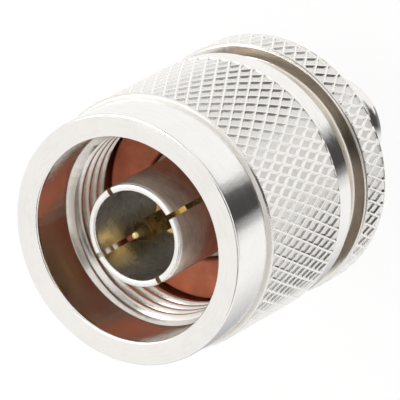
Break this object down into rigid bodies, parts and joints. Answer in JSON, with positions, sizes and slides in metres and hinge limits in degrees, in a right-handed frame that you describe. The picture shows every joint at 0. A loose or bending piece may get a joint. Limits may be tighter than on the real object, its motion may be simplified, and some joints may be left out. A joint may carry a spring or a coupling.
{
  "type": "coaxial adapter",
  "caption": "Straight coaxial adapter: a knurled N coupling nut round a slotted contact and pin at one end, a small hexagonal SMA coupling nut at the other, each nut free to turn.",
  "frame": {"origin": "centre of the front face of the SMA nut, on which the adapter stands", "axes": "+Z along the common axis, from the SMA end to the N end, which opens upwards"},
  "size_m": [0.0204, 0.0204, 0.0306],
  "materials": {
    "nickel": "polished",
    "gold": "polished",
    "bronze": "satin",
    "silicone": "matte",
    "ptfe": "satin"
  },
  "bodies": {
    "adapter": {"adapter_body": "nickel", "n_retaining_ring": "bronze", "gasket": "silicone", "outer_contact": "nickel", "n_insulator": "ptfe", "n_pin": "gold", "sma_pin": "gold", "sma_insulator": "ptfe", "sma_retaining_ring": "bronze"},
    "n_nut": {"n_coupling_nut": "nickel"},
    "sma_nut": {"sma_coupling_nut": "nickel"}
  },
  "joints": [
    {"name": "n_nut_turn", "type": "hinge", "parent": "adapter", "child": "n_nut", "pos_m": [0, 0, 0.02], "axis": [0, 0, 1], "continuous": true},
    {"name": "sma_nut_turn", "type": "hinge", "parent": "adapter", "child": "sma_nut", "pos_m": [0, 0, 0.004], "axis": [0, 0, 1], "continuous": true}
  ]
}
